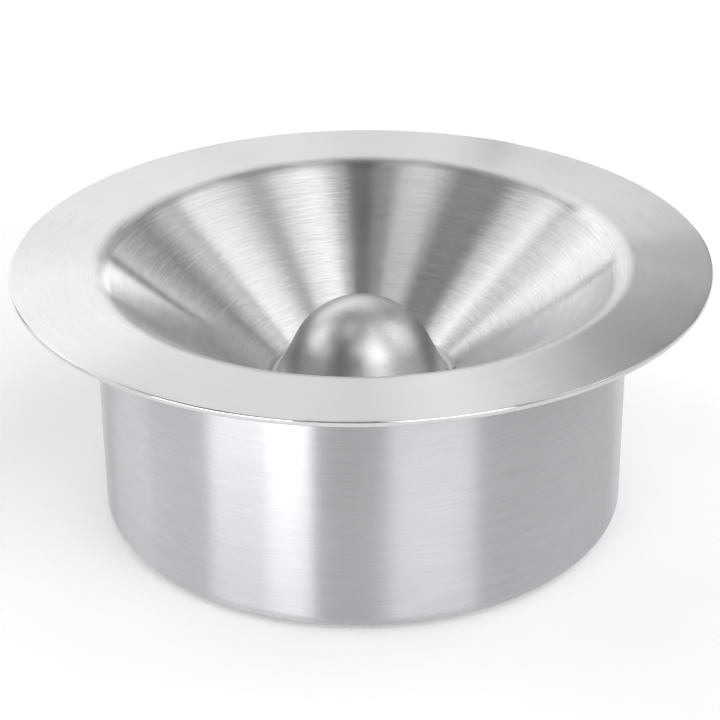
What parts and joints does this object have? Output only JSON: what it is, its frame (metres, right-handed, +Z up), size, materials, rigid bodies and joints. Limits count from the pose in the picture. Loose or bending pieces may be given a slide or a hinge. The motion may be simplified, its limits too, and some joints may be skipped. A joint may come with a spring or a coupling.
{
  "type": "countertop waste pot",
  "caption": "Round brushed steel waste pot with a wide-brimmed funnel lid that lifts off; slots round a central dome lead into the pot.",
  "frame": {"origin": "on the surface that the pot stands on, at the centre of its base", "axes": "+Z up along the axis that the pot and the lid share; X and Y lie in the plane of the base"},
  "size_m": [0.15, 0.15, 0.0588],
  "materials": {
    "lid_steel": "circular brushed",
    "dome_steel": "circular brushed, slightly finer",
    "collar_steel": "plain mill finish",
    "pot_steel": "circular brushed",
    "grip_rubber": "matte silicone",
    "foot_rubber": "matte silicone"
  },
  "bodies": {
    "pot": {"pot": "pot_steel", "foot_pad_1": "foot_rubber", "foot_pad_2": "foot_rubber", "foot_pad_3": "foot_rubber", "foot_pad_4": "foot_rubber"},
    "lid": {"funnel": "lid_steel", "dome": "dome_steel", "locating_collar": "collar_steel", "grip_ring": "grip_rubber"}
  },
  "joints": [
    {"name": "lid_lift", "type": "slide", "parent": "pot", "child": "lid", "axis": [0, 0, 1], "range_m": [0, 0.06]}
  ]
}
